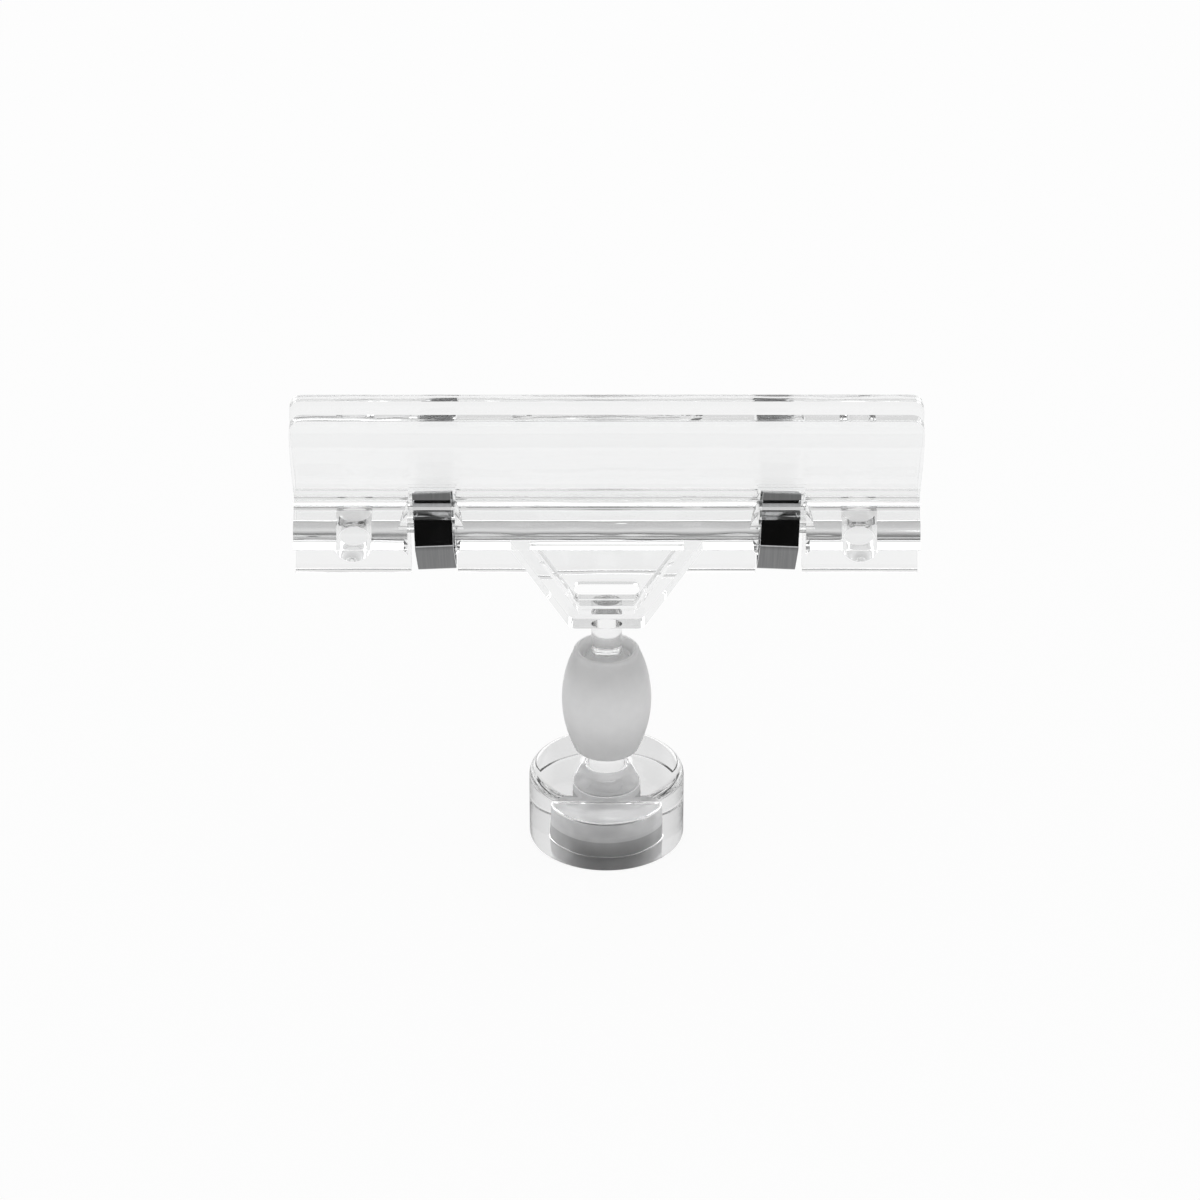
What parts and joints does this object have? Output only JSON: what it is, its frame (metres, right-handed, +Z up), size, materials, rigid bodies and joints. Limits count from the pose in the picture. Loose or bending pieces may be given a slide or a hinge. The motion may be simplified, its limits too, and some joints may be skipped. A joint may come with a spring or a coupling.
{
  "type": "sign holder",
  "caption": "Clear spring-loaded clip for a sign card, on a bracket and a double ball coupling above a round clear base with a magnet underneath.",
  "frame": {"origin": "on the base's axis, on the surface that the base stands on", "axes": "+X along the clip, +Y from the clip's front to its back, +Z up"},
  "size_m": [0.08, 0.02, 0.0605],
  "materials": {
    "clear_plastic": "clear, polished",
    "satin_plastic": "satin white, slightly translucent",
    "spring_steel": "bright strip",
    "magnet_plating": "dull plated"
  },
  "bodies": {
    "base": {"base": "clear_plastic", "magnet": "magnet_plating"},
    "coupling": {"ball_coupling": "satin_plastic"},
    "front_jaw": {"front_jaw": "clear_plastic", "spring_left": "spring_steel", "spring_right": "spring_steel"},
    "rear_jaw": {"rear_jaw": "clear_plastic"}
  },
  "joints": [
    {"name": "lower_ball_swivel", "type": "hinge", "parent": "base", "child": "coupling", "pos_m": [0, 0, 0.0161], "axis": [0, 0, 1], "continuous": true},
    {"name": "upper_ball_tilt", "type": "hinge", "parent": "coupling", "child": "front_jaw", "pos_m": [0, 0, 0.0244], "axis": [1, 0, 0], "range_deg": [-20, 20]},
    {"name": "jaw_opening", "type": "hinge", "parent": "front_jaw", "child": "rear_jaw", "pos_m": [0, 0.005, 0.0451], "axis": [-1, 0, 0], "range_deg": [0, 20], "stiffness_Nm_per_rad": 0.15, "springref_deg": -22.92, "deforming": ["spring_left", "spring_right"]}
  ]
}
